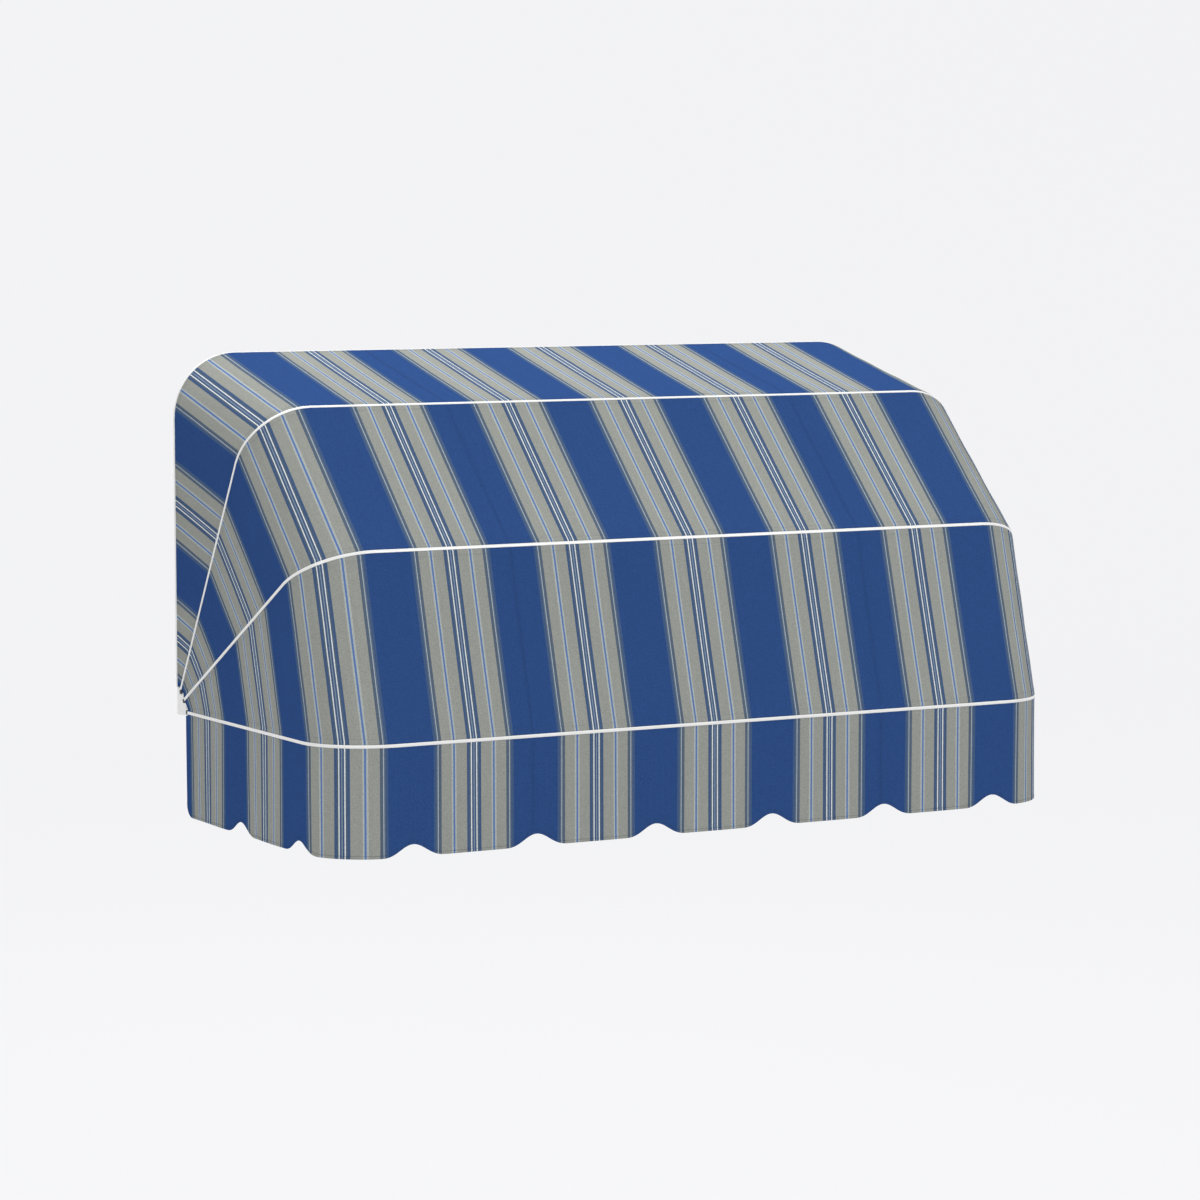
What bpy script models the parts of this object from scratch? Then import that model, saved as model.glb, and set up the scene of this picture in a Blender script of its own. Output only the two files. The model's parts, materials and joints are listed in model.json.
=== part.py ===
"""Folding basket awning for a window: a wall bow, three hinged bows, striped cloth and a scalloped valance.

Metres. X runs along the wall, Y into the wall, Z up. The wall is the plane Y = 0, and the origin is on the
back face of the middle wall clip. The bows share a virtual pivot line that lies AXIS_Z below the origin. Each
swinging bow and its cloth hang on an empty that stands on the bow's own hinge axis.
"""

import math

import bmesh
import bpy
from mathutils import Matrix, Vector
from mathutils.geometry import tessellate_polygon

# Overall sizes, read from the photograph at a width of 2.5 m.
BOW_WIDTH = 2.5
WALL_BOW_HEIGHT = 1.097
UPPER_BOW_REACH = 1.124
MIDDLE_BOW_REACH = 1.156
FRONT_BOW_REACH = 1.1585
UPPER_BOW_ANGLE = 58.2
MIDDLE_BOW_ANGLE = 28.9
FRONT_BOW_ANGLE = 0.75
WALL_CORNER_RADIUS = 0.201
BOW_CORNER_RADIUS = 0.210

# The bent aluminium profile: b runs across the bow's plane, n points out of the hoop.
PROFILE_DEPTH = 0.022
PROFILE_HEIGHT = 0.024
CREST_WIDTH = 0.0098
PROFILE_WALL = 0.0028
CORD_RADIUS = 0.0024
CLOTH = 0.0012
WALL_BOW_STANDOFF = 0.001
STACK_GAP = 0.0025

# Side brackets: wall plate, cheeks and the tongue in the wall bow's end.
BRACKET_PLATE = 0.006
PLATE_TOP = 0.0715
PLATE_BOTTOM = -0.014
PLATE_INNER = 0.045
PLATE_OUTER = 0.0095
PLATE_SCREW_INSET = 0.029
PLATE_SCREW_HEIGHTS = (-0.003, 0.052)
PLATE_SCREW_RADIUS = 0.0036
PLATE_SCREW_HEAD = 0.0070
PLATE_SCREW_HEAD_HEIGHT = 0.0050
CHEEK = 0.005
CHEEK_PLAY = 0.0005
PIVOT_DISC_RADIUS = 0.009
TONGUE_START = 0.030
TONGUE_END = 0.110

# Hinges: lugs in the arms' ends, bolts and nuts.
BOLT_RADIUS = 0.004
BOLT_HEAD = 0.0074
BOLT_HEAD_HEIGHT = 0.0053
BOLT_TAIL = 0.0075
NUT_THICKNESS = 0.0063
ARM_START = 0.012
STEP_GAP = 0.0018
WALL_ARM_START = 0.0725
LUG_LENGTH = 0.060
LUG_CHAMFER = 0.004
CORD_INSET = 0.002
CLOTH_INSET = 0.0015

# Angle clips on the wall bow, with their screws and rivets.
CLIP_PLATE = 0.003
CLIP_LEG = 0.036
CLIP_WIDTH = 0.030
CLIP_SPACING = 0.75
LEG_CLIP_HEIGHT = 0.46
CLIP_SCREW_INSET = 0.010
SCREW_RADIUS = 0.0026
SCREW_HEAD = 0.0052
SCREW_HEAD_HEIGHT = 0.0030
RIVET_RADIUS = 0.0016
RIVET_HEAD = 0.0036
RIVET_HEAD_HEIGHT = 0.0014

# Valance: its depth below the front bow's plane, and the distance of its back edge from the pivot line.
VALANCE_DROP = 0.3245
VALANCE_BACK = 0.081
VALANCE_END_RADIUS = 0.038
SCALLOP_RISE = 0.0352
SCALLOP_HALF_WIDTH = 0.090
SCALLOP_PITCH = 0.3975
SCALLOPS_A_SIDE = 5

# Stripes: broad blue fields between grey ones. Both lie a little further apart round the corners.
STRIPE_REPEAT = 0.400
GREY_HALF_WIDTH = 0.1275
STRIPES_A_SIDE = 5
SIDE_STRETCH = 0.072
STRIPES_STRETCH_FROM = 1.10
SCALLOPS_STRETCH_FROM = 1.40

# Finishes: colour, roughness and metallic value.
FINISHES = {
    "white_powder_coat": ((0.80, 0.80, 0.79), 0.35, 0.0),
    "blue_canvas": ((0.024, 0.066, 0.210), 0.85, 0.0),
    "grey_canvas": ((0.291, 0.300, 0.278), 0.85, 0.0),
    "white_cord": ((0.72, 0.72, 0.70), 0.45, 0.0),
    "steel": ((0.60, 0.60, 0.61), 0.35, 1.0),
    "aluminium": ((0.74, 0.74, 0.75), 0.40, 1.0),
}

GAP = 0.0003
BEND_STEPS = 7
ROUND_STEPS = 8
CORD_STEPS = 6
CROWN_SHARE = 0.72
MIN_COLUMN = 0.006
ORIGIN_BELOW_TOP = 0.034
AXIS_Z = ORIGIN_BELOW_TOP - WALL_BOW_HEIGHT
WALL_BOW_DEPTH = WALL_BOW_STANDOFF + PROFILE_DEPTH / 2
STACK_PITCH = PROFILE_DEPTH + STACK_GAP
GROOVE_RADIUS = CORD_RADIUS + 0.0004
GROOVE_B = PROFILE_DEPTH / 2 - 0.002 - GROOVE_RADIUS
GROOVE_N = -(GROOVE_RADIUS + 0.0042)
SLOT_HALF = CLOTH / 2 + 0.0006
CHAMBER_B = PROFILE_DEPTH / 2 - PROFILE_WALL
CHAMBER_TOP = GROOVE_N - GROOVE_RADIUS - 0.003
CHAMBER_LOW = PROFILE_WALL - PROFILE_HEIGHT
LUG_CENTRE = (CHAMBER_TOP + CHAMBER_LOW) / 2
LUG_THICK = CHAMBER_TOP - CHAMBER_LOW - 0.0008
LUG_HALF = CHAMBER_B - 0.0004
SHARP_ANGLE = 35
EMPTY_SIZE = 0.05
X = Vector((1, 0, 0))
Y = Vector((0, 1, 0))
Z = Vector((0, 0, 1))


def clear_scene():
    for obj in list(bpy.data.objects):
        bpy.data.objects.remove(obj, do_unlink=True)


def finish(name):
    """The named material, made once."""
    if name in bpy.data.materials:
        return bpy.data.materials[name]
    colour, roughness, metallic = FINISHES[name]
    made = bpy.data.materials.new(name)
    made.use_nodes = True
    surface = made.node_tree.nodes["Principled BSDF"]
    surface.inputs["Base Color"].default_value = (*colour, 1.0)
    surface.inputs["Roughness"].default_value = roughness
    surface.inputs["Metallic"].default_value = metallic
    made.diffuse_color = (*colour, 1.0)
    return made


def make_object(name, points, faces, fields=None):
    """A closed mesh object whose faces point outwards; fields gives each face's material slot, 0 if left out."""
    mesh = bpy.data.meshes.new(name)
    mesh.from_pydata([tuple(p) for p in points], [], faces)
    if fields:
        mesh.polygons.foreach_set("material_index", fields)
    shape = bmesh.new()
    shape.from_mesh(mesh)
    bmesh.ops.remove_doubles(shape, verts=shape.verts, dist=1e-6)
    bmesh.ops.recalc_face_normals(shape, faces=shape.faces)
    shape.to_mesh(mesh)
    shape.free()
    obj = bpy.data.objects.new(name, mesh)
    bpy.context.scene.collection.objects.link(obj)
    return obj


def dress(obj, finishes, carrier, place=None, turn=(0.0, 0.0, 0.0)):
    """Gives a piece its materials and smooth round faces, and hangs it on the empty that carries it.

    A piece with a place is modelled about its own origin; any other takes its carrier's origin."""
    for name in finishes:
        obj.data.materials.append(finish(name))
    obj.data.shade_smooth()
    obj.data.set_sharp_from_angle(angle=math.radians(SHARP_ANGLE))
    obj.parent = carrier
    if place is None:
        obj.data.transform(Matrix.Translation(-carrier.location))
    else:
        obj.location = place - carrier.location
        obj.rotation_euler = turn


def make_carrier(name, place):
    """An empty on a hinge axis, or at the origin for what stays on the wall."""
    empty = bpy.data.objects.new(name, None)
    empty.empty_display_size = EMPTY_SIZE
    empty.location = place
    bpy.context.scene.collection.objects.link(empty)
    return empty


def boolean(obj, others, operation):
    """Cuts or joins plain solids and keeps only the result."""
    for other in others:
        modifier = obj.modifiers.new("Cut", "BOOLEAN")
        modifier.operation = operation
        modifier.solver = "EXACT"
        modifier.object = other
        bpy.context.view_layer.update()
        graph = bpy.context.evaluated_depsgraph_get()
        result = bpy.data.meshes.new_from_object(obj.evaluated_get(graph))
        obj.modifiers.clear()
        obj.data = result
        bpy.data.objects.remove(other, do_unlink=True)
    obj.data.name = obj.name
    return obj


def circle(cu, cv, radius, steps, turn=0.0):
    ring = []
    for k in range(steps):
        a = turn + 2 * math.pi * k / steps
        ring.append((cu + radius * math.cos(a), cv + radius * math.sin(a)))
    return ring


def hole(cu, cv, radius):
    """A round hole whose flats lie at the radius, so that a shank of that radius fits."""
    return circle(cu, cv, radius / math.cos(math.pi / ROUND_STEPS), ROUND_STEPS)


def ring_faces(first, size, step):
    """Side faces between two rings of the same size; step is the distance between them in the point list."""
    faces = []
    for k in range(size):
        a = first + k
        b = first + (k + 1) % size
        faces.append((a, b, b + step, a + step))
    return faces


def caps_of(loops):
    """Triangles that fill an outline with holes, as indices into the loops laid end to end."""
    return tessellate_polygon([[Vector((u, v, 0)) for u, v in loop] for loop in loops])


def prism(name, loops, origin, eu, ev, ew, low, high):
    """An outline with holes in the (eu, ev) plane, extruded along ew from low to high."""
    flat = [uv for loop in loops for uv in loop]
    count = len(flat)
    points = [origin + eu * u + ev * v + ew * low for u, v in flat]
    points += [origin + eu * u + ev * v + ew * high for u, v in flat]
    faces = []
    for a, b, c in caps_of(loops):
        faces.append((a, b, c))
        faces.append((c + count, b + count, a + count))
    start = 0
    for loop in loops:
        faces += ring_faces(start, len(loop), count)
        start += len(loop)
    return make_object(name, points, faces)


def sweep(name, loops, stations):
    """Carries a section with holes through the stations, each (origin, b direction, n direction)."""
    flat = [uv for loop in loops for uv in loop]
    count = len(flat)
    points = []
    for origin, eb, en in stations:
        points += [origin + eb * u + en * v for u, v in flat]
    faces = []
    last = (len(stations) - 1) * count
    for a, b, c in caps_of(loops):
        faces.append((a, b, c))
        faces.append((c + last, b + last, a + last))
    for j in range(len(stations) - 1):
        start = j * count
        for loop in loops:
            faces += ring_faces(start, len(loop), count)
            start += len(loop)
    return make_object(name, points, faces)


def sheet(name, rows, thickness, marks):
    """A closed sheet of cloth about a grid of points; rows run across it and columns stand at the marks.

    A face takes slot 0 where its middle is in a blue stripe, and slot 1 where it is in a grey one."""
    wide = len(rows[0])
    high = len(rows)
    front = []
    back = []
    for i in range(high):
        for j in range(wide):
            along = rows[i][min(j + 1, wide - 1)] - rows[i][max(j - 1, 0)]
            normal = Vector((0, 0, 0))
            for k in (max(i - 1, 0), min(i, high - 2)):
                across = (rows[k + 1][j] - rows[k][j]).normalized()
                normal += along.cross(across).normalized()
            normal.normalize()
            front.append(rows[i][j] + normal * (thickness / 2))
            back.append(rows[i][j] - normal * (thickness / 2))
    size = wide * high
    tones = [int(in_grey((a + b) / 2)) for a, b in zip(marks, marks[1:])]
    faces = []
    fields = []
    for i in range(high - 1):
        for j in range(wide - 1):
            a = i * wide + j
            faces.append((a, a + 1, a + 1 + wide, a + wide))
            faces.append((a + size, a + wide + size, a + 1 + wide + size, a + 1 + size))
            fields += [tones[j]] * 2
    for j in range(wide - 1):
        a = (high - 1) * wide + j
        faces.append((j, j + size, j + 1 + size, j + 1))
        faces.append((a, a + 1, a + 1 + size, a + size))
        fields += [tones[j]] * 2
    for i in range(high - 1):
        a = i * wide
        b = a + wide - 1
        faces.append((a, a + wide, a + wide + size, a + size))
        faces.append((b, b + size, b + wide + size, b + wide))
        fields += [tones[0], tones[-1]]
    return make_object(name, front + back, faces, fields)


def mirrored(points):
    """The right half of a section followed by its mirror image, as one loop."""
    return points + [(-b, n) for b, n in reversed(points)]


def groove_point(angle, radius=GROOVE_RADIUS):
    a = math.radians(angle)
    return (GROOVE_B + radius * math.cos(a), GROOVE_N + radius * math.sin(a))


def profile_loops():
    """The extruded section: a narrow crest between two cord grooves, over a hollow box."""
    open_half = math.degrees(math.asin(SLOT_HALF / GROOVE_RADIUS))
    half = CREST_WIDTH / 2
    side = PROFILE_DEPTH / 2
    right = [(half - 0.0011, 0.0), (half, -0.0009)]
    first = 45 + open_half
    right += [groove_point(first + 54 * k) for k in range(6)]
    lip = groove_point(45 - open_half)
    right.append(lip)
    tip = (lip[0] + 0.00106, lip[1] + 0.00106)
    right.append(tip)
    right.append((side, tip[1] - 0.0009))
    right.append((side, -PROFILE_HEIGHT))
    chamber = [
        (CHAMBER_B, CHAMBER_TOP),
        (-CHAMBER_B, CHAMBER_TOP),
        (-CHAMBER_B, CHAMBER_LOW),
        (CHAMBER_B, CHAMBER_LOW),
    ]
    return [mirrored(right), chamber]


def stretched(distance, start):
    """A distance along a cloth, which runs a little longer beyond start."""
    return distance + SIDE_STRETCH * max(distance - start, 0.0)


def stripe_edges():
    """Distances, on one side of the middle, of the edges between grey and blue stripes."""
    edges = []
    for k in range(STRIPES_A_SIDE + 1):
        for side in (-1, 1):
            edge = k * STRIPE_REPEAT + side * GREY_HALF_WIDTH
            if edge > 0:
                edges.append(stretched(edge, STRIPES_STRETCH_FROM))
    return edges


def in_grey(s):
    """Whether the distance s from the middle lies in a grey stripe."""
    return sum(edge < abs(s) for edge in stripe_edges()) % 2 == 0


class Bow:
    """One U-shaped bow: its plane, its outer line and the frame at any point of it."""

    def __init__(self, reach, corner, angle, depth, start):
        t = math.radians(angle)
        self.reach = reach
        self.corner = corner
        self.start = start
        self.origin = Vector((0, -depth, AXIS_Z))
        self.out = Vector((0, -math.cos(t), math.sin(t)))
        self.up = Vector((0, math.sin(t), math.cos(t)))
        self.flat = BOW_WIDTH / 2 - corner
        self.turn = self.flat + corner * math.pi / 2
        self.whole = self.turn + reach - corner

    def frame(self, s):
        """Point, b direction and n direction at the distance s along the outer line from its middle."""
        sign = 1 if s >= 0 else -1
        d = abs(s)
        if d <= self.flat:
            x, q, nx, nq = d, self.reach, 0.0, 1.0
        elif d <= self.turn:
            k = (d - self.flat) / self.corner
            x = self.flat + self.corner * math.sin(k)
            q = self.reach - self.corner + self.corner * math.cos(k)
            nx, nq = math.sin(k), math.cos(k)
        else:
            x, q, nx, nq = BOW_WIDTH / 2, self.reach - self.corner - (d - self.turn), 1.0, 0.0
        point = self.origin + X * (sign * x) + self.out * q
        return point, self.up, X * (sign * nx) + self.out * nq

    def bend_marks(self):
        return [self.flat + (self.turn - self.flat) * k / BEND_STEPS for k in range(BEND_STEPS + 1)]

    def marks(self, start):
        """Distances along the bow at which a swept shape needs a section."""
        half = self.bend_marks() + [self.whole - start]
        return [-s for s in reversed(half)] + half

    def stations(self, start):
        return [self.frame(s) for s in self.marks(start)]

    def at(self, s, b, n):
        point, eb, en = self.frame(s)
        return point + eb * b + en * n


def pivot(index):
    """Depth from the wall and height above the pivot line of hinge 1, 2 or 3."""
    angle = (UPPER_BOW_ANGLE, MIDDLE_BOW_ANGLE, FRONT_BOW_ANGLE)[index - 1]
    depth = WALL_BOW_DEPTH + STACK_PITCH * index
    return depth, depth * math.tan(math.radians(angle))


def make_bows():
    wall = Bow(WALL_BOW_HEIGHT, WALL_CORNER_RADIUS, 90, WALL_BOW_DEPTH, WALL_ARM_START)
    bows = [wall]
    reaches = (UPPER_BOW_REACH, MIDDLE_BOW_REACH, FRONT_BOW_REACH)
    angles = (UPPER_BOW_ANGLE, MIDDLE_BOW_ANGLE, FRONT_BOW_ANGLE)
    for index in (1, 2, 3):
        corner = WALL_CORNER_RADIUS if index == 1 else BOW_CORNER_RADIUS
        start = math.hypot(*pivot(index)) + ARM_START
        bows.append(Bow(reaches[index - 1], corner, angles[index - 1], 0.0, start))
    return bows


def cloth_edge(side, over=True):
    """Section points of a cloth edge, from the cord out of the groove and over its outer lip."""
    diagonal = math.sqrt(0.5)
    points = []
    for reach in (CORD_RADIUS + 0.0005, GROOVE_RADIUS + 0.0018):
        points.append((side * (GROOVE_B + reach * diagonal), GROOVE_N + reach * diagonal))
    if over:
        points.append((side * (PROFILE_DEPTH / 2 + 0.0004), points[-1][1] - 0.00065))
    return points


def add_profiles(bows, carriers):
    names = ("wall_bow", "upper_bow", "middle_bow", "front_bow")
    for name, bow, carrier in zip(names, bows, carriers):
        profile = sweep(name, profile_loops(), bow.stations(bow.start))
        dress(profile, ["white_powder_coat"], carrier)


def add_cords(bows, carriers):
    """The cord in each used groove; side 1 is the groove that faces up or back."""
    used = (
        ("wall_bow_cord", 0, -1),
        ("upper_bow_top_cord", 1, 1),
        ("upper_bow_low_cord", 1, -1),
        ("middle_bow_top_cord", 2, 1),
        ("middle_bow_low_cord", 2, -1),
        ("front_bow_top_cord", 3, 1),
        ("valance_cord", 3, -1),
    )
    for name, index, side in used:
        bow = bows[index]
        ring = circle(side * GROOVE_B, GROOVE_N, CORD_RADIUS, CORD_STEPS)
        cord = sweep(name, [ring], bow.stations(bow.start + CORD_INSET))
        dress(cord, ["white_cord"], carriers[index])


def panel_marks(high, low):
    """Distances along two bows for a panel's columns: the bends, the edges of the stripes and the arms' ends."""
    ends = [bow.whole - bow.start - CLOTH_INSET for bow in (high, low)]
    half = list(zip(high.bend_marks(), low.bend_marks())) + [ends]
    taken = [s for pair in half for s in pair]
    for edge in stripe_edges():
        if edge < min(ends) and min(abs(edge - s) for s in taken) > MIN_COLUMN:
            half.append((edge, edge))
    half.sort(key=sum)
    pairs = [(-a, -b) for a, b in reversed(half)] + half
    return [a for a, b in pairs], [b for a, b in pairs]


def add_panels(bows, carriers):
    """Taut cloth between neighbouring bows; each edge leaves its groove and bends over the groove's outer lip."""
    names = ("top_panel", "middle_panel", "front_panel")
    for k, name in enumerate(names):
        high = bows[k]
        low = bows[k + 1]
        marks_high, marks_low = panel_marks(high, low)
        rows = []
        for b, n in cloth_edge(-1):
            rows.append([high.at(s, b, n) for s in marks_high])
        for b, n in reversed(cloth_edge(1)):
            rows.append([low.at(s, b, n) for s in marks_low])
        panel = sheet(name, rows, CLOTH, marks_low)
        dress(panel, ["blue_canvas", "grey_canvas"], carriers[k + 1])


def scallop_middles():
    """Distances of the scallops from the middle, on one side."""
    return [stretched(SCALLOP_PITCH * (k + 0.5), SCALLOPS_STRETCH_FROM) for k in range(SCALLOPS_A_SIDE)]


def scallop(s):
    """Height of the valance's hem above its lowest line at the distance s along the bow."""
    d = min(abs(abs(s) - middle) for middle in scallop_middles())
    if d >= SCALLOP_HALF_WIDTH:
        return 0.0
    return SCALLOP_RISE * 0.5 * (1 + math.cos(math.pi * d / SCALLOP_HALF_WIDTH))


def end_rise(s, end):
    """Height of the rounded back corner of the valance above the hem."""
    short = VALANCE_END_RADIUS - (end - abs(s))
    if short <= 0:
        return 0.0
    return VALANCE_END_RADIUS - math.sqrt(max(VALANCE_END_RADIUS**2 - short**2, 0.0))


def valance_marks(bow):
    """Distances for the valance's columns: bends, stripe edges, scallops and the rounded back corners."""
    end = bow.whole - VALANCE_BACK
    arm_end = bow.whole - bow.start
    wanted = [0.0, arm_end] + bow.bend_marks() + stripe_edges()
    wanted += [end - VALANCE_END_RADIUS * (1 - math.cos(math.pi * k / 8)) for k in range(5)]
    for middle in scallop_middles():
        wanted += [middle + SCALLOP_HALF_WIDTH * k / 3 for k in range(-3, 4)]
    half = []
    for s in sorted(w for w in wanted if w <= end):
        if not half or s - half[-1] > MIN_COLUMN:
            half.append(s)
    half[-1] = end
    return [-s for s in reversed(half[1:])] + half


def add_valance(bows, carriers):
    """The valance hangs from the front bow's lower groove, and its back corners hang free past the arms' ends."""
    bow = bows[3]
    marks = valance_marks(bow)
    end = marks[-1]
    edge = cloth_edge(-1, over=False)
    free_top = AXIS_Z + pivot(3)[1] - BOLT_HEAD
    rows = []
    for b, n in edge:
        row = [bow.at(s, b, n) for s in marks]
        for s, point in zip(marks, row):
            if abs(s) > bow.whole - bow.start:
                point.z = min(point.z, free_top + b / 2)
        rows.append(row)
    bottom = []
    for s, top in zip(marks, rows[-1]):
        point = top.copy()
        point.z = bow.frame(s)[0].z - VALANCE_DROP + max(scallop(s), end_rise(s, end))
        bottom.append(point)
    rows.append(bottom)
    valance = sheet("valance", rows, CLOTH, marks)
    dress(valance, ["blue_canvas", "grey_canvas"], carriers[3])


def headed(name, shank, head, height, length, hexagonal=False):
    """A bolt, screw or rivet along Z: the face under its head is at Z = 0, and its shank runs down from there."""
    shank_ring = circle(0, 0, shank, ROUND_STEPS)
    head_ring = circle(0, 0, head, 6 if hexagonal else ROUND_STEPS)
    crown = 1.0 if hexagonal else CROWN_SHARE
    size = len(shank_ring)
    head_size = len(head_ring)
    points = [(u, v, -length) for u, v in shank_ring]
    points += [(u, v, 0.0) for u, v in shank_ring + head_ring]
    points += [(u * crown, v * crown, height) for u, v in head_ring]
    top = 2 * size + head_size
    faces = [tuple(range(size)), tuple(range(top, top + head_size))]
    faces += ring_faces(0, size, size) + ring_faces(2 * size, head_size, head_size)
    for triangle in caps_of([head_ring, shank_ring]):
        faces.append([2 * size + i if i < head_size else size + i - head_size for i in triangle])
    return make_object(name, points, faces)


def facing(axis):
    """The rotation that turns Z into the axis."""
    return axis.to_track_quat("Z", "Y").to_euler()


def bracket_outline():
    """Side view of the bracket's cheeks, as depth from the wall and height above the pivot line.

    The front edge is stepped, so that each arm stands upright beside the next pivot when the hood is folded."""
    top = PLATE_TOP - 0.0015
    outline = [(0.0, PLATE_BOTTOM), (0.0, top - 0.004), (0.010, top)]
    spans = ((135, 0), (90, 0), (90, -90))
    for k, (first, last) in enumerate(spans):
        depth, height = pivot(k + 1)
        if k > 0:
            step = height + ARM_START - STEP_GAP
            outline.append((depth - PROFILE_DEPTH / 2 - STEP_GAP, step))
            outline.append((depth - PIVOT_DISC_RADIUS / 2, height + PIVOT_DISC_RADIUS))
        for j in range(4):
            a = math.radians(first + (last - first) * j / 3)
            outline.append(
                (depth + PIVOT_DISC_RADIUS * math.cos(a), height + PIVOT_DISC_RADIUS * math.sin(a))
            )
    outline.append((pivot(1)[0], PLATE_BOTTOM))
    return outline


def add_brackets(carrier):
    """Each bracket: a wall plate, two cheeks that hold the hinge bolts, and a tongue for the wall bow."""
    half = LUG_THICK / 2
    near = half + CHEEK_PLAY
    centre = Vector((0, 0, 0))
    for side, label in ((-1, "left"), (1, "right")):
        place = Vector((side * (BOW_WIDTH / 2 + LUG_CENTRE), 0, AXIS_Z))
        outward = X * side
        out = -Y
        holes = [hole(*pivot(k), BOLT_RADIUS + GAP) for k in (1, 2, 3)]
        loops = [bracket_outline()] + holes
        body = prism("bracket_" + label, loops, centre, out, Z, outward, near, near + CHEEK)
        inner = prism("inner_cheek", loops, centre, out, Z, outward, -near - CHEEK, -near)
        plate_outline = [
            (-PLATE_INNER, PLATE_BOTTOM),
            (PLATE_OUTER, PLATE_BOTTOM),
            (PLATE_OUTER, PLATE_TOP),
            (-PLATE_INNER, PLATE_TOP),
        ]
        screws = [hole(-PLATE_SCREW_INSET, z, PLATE_SCREW_RADIUS + GAP) for z in PLATE_SCREW_HEIGHTS]
        plate = prism("plate", [plate_outline] + screws, centre, outward, Z, out, 0.0, BRACKET_PLATE)
        tongue_outline = [
            (WALL_BOW_DEPTH - LUG_HALF, TONGUE_START),
            (WALL_BOW_DEPTH + LUG_HALF, TONGUE_START),
            (WALL_BOW_DEPTH + LUG_HALF, TONGUE_END),
            (WALL_BOW_DEPTH - LUG_HALF, TONGUE_END),
        ]
        tongue = prism("tongue", [tongue_outline], centre, out, Z, outward, -half, half)
        boolean(body, [plate, inner, tongue], "UNION")
        dress(body, ["white_powder_coat"], carrier, place)
        for k, z in enumerate(PLATE_SCREW_HEIGHTS):
            seat = place - outward * PLATE_SCREW_INSET + out * (BRACKET_PLATE + GAP) + Z * z
            name = "bracket_screw_" + label + "_" + str(k + 1)
            screw = headed(
                name, PLATE_SCREW_RADIUS, PLATE_SCREW_HEAD, PLATE_SCREW_HEAD_HEIGHT, BRACKET_PLATE
            )
            dress(screw, ["steel"], carrier, seat, facing(out))


def lug_loops():
    """Outline of a lug about its bolt, round at the bolt and chamfered at the far end, with the bolt's hole."""
    outline = []
    for k in range(7):
        a = math.radians(90 + 30 * k)
        outline.append((LUG_HALF * math.cos(a), LUG_HALF * math.sin(a)))
    far = LUG_LENGTH + LUG_CHAMFER
    low = LUG_HALF - LUG_CHAMFER
    outline += [(LUG_LENGTH, -LUG_HALF), (far, -low), (far, low), (LUG_LENGTH, LUG_HALF)]
    return [outline, hole(0, 0, BOLT_RADIUS + GAP)]


def add_pivots(carriers):
    """A lug in the end of each arm, and the bolt and nut that it swings on."""
    half = LUG_THICK / 2
    reach = half + CHEEK_PLAY + CHEEK
    centre = Vector((0, 0, 0))
    hinges = (
        ("upper", 1, UPPER_BOW_ANGLE),
        ("middle", 2, MIDDLE_BOW_ANGLE),
        ("front", 3, FRONT_BOW_ANGLE),
    )
    for name, index, angle in hinges:
        tilt = (-math.radians(angle), 0.0, 0.0)
        for side, label in ((-1, "left"), (1, "right")):
            outward = X * side
            place = carriers[index].location + outward * (BOW_WIDTH / 2 + LUG_CENTRE)
            lug = prism(name + "_lug_" + label, lug_loops(), centre, -Y, Z, outward, -half, half)
            dress(lug, ["aluminium"], carriers[index], place, tilt)
            length = 2 * reach + BOLT_TAIL
            bolt = headed(name + "_bolt_" + label, BOLT_RADIUS, BOLT_HEAD, BOLT_HEAD_HEIGHT, length, True)
            dress(bolt, ["steel"], carriers[0], place + outward * (reach + GAP), facing(outward))
            loops = [circle(0, 0, BOLT_HEAD, 6), hole(0, 0, BOLT_RADIUS + GAP)]
            nut = prism(name + "_nut_" + label, loops, centre, X, Y, Z, -NUT_THICKNESS, 0.0)
            dress(nut, ["steel"], carriers[0], place - outward * (reach + GAP), facing(outward))


def make_clip(name):
    """An angle clip: one leg lies on the wall, the plane X = 0, and the other under the wall bow."""
    top = PROFILE_HEIGHT + GAP
    low = top + CLIP_LEG
    outline = [
        (0.0, -top),
        (PROFILE_DEPTH, -top),
        (PROFILE_DEPTH, -top - CLIP_PLATE),
        (CLIP_PLATE, -top - CLIP_PLATE),
        (CLIP_PLATE, -low),
        (0.0, -low),
    ]
    centre = Vector((0, 0, 0))
    clip = prism(name, [outline], centre, X, Y, Z, -CLIP_WIDTH / 2, CLIP_WIDTH / 2)
    screw_hole = [hole(CLIP_SCREW_INSET - low, 0, SCREW_RADIUS + GAP)]
    rivet_hole = [hole(WALL_BOW_DEPTH, 0, RIVET_RADIUS + GAP)]
    cutters = [
        prism("screw_hole", screw_hole, centre, Y, Z, X, -CLIP_PLATE, 2 * CLIP_PLATE),
        prism("rivet_hole", rivet_hole, centre, X, Z, -Y, top - CLIP_PLATE, top + 2 * CLIP_PLATE),
    ]
    return boolean(clip, cutters, "DIFFERENCE")


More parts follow.
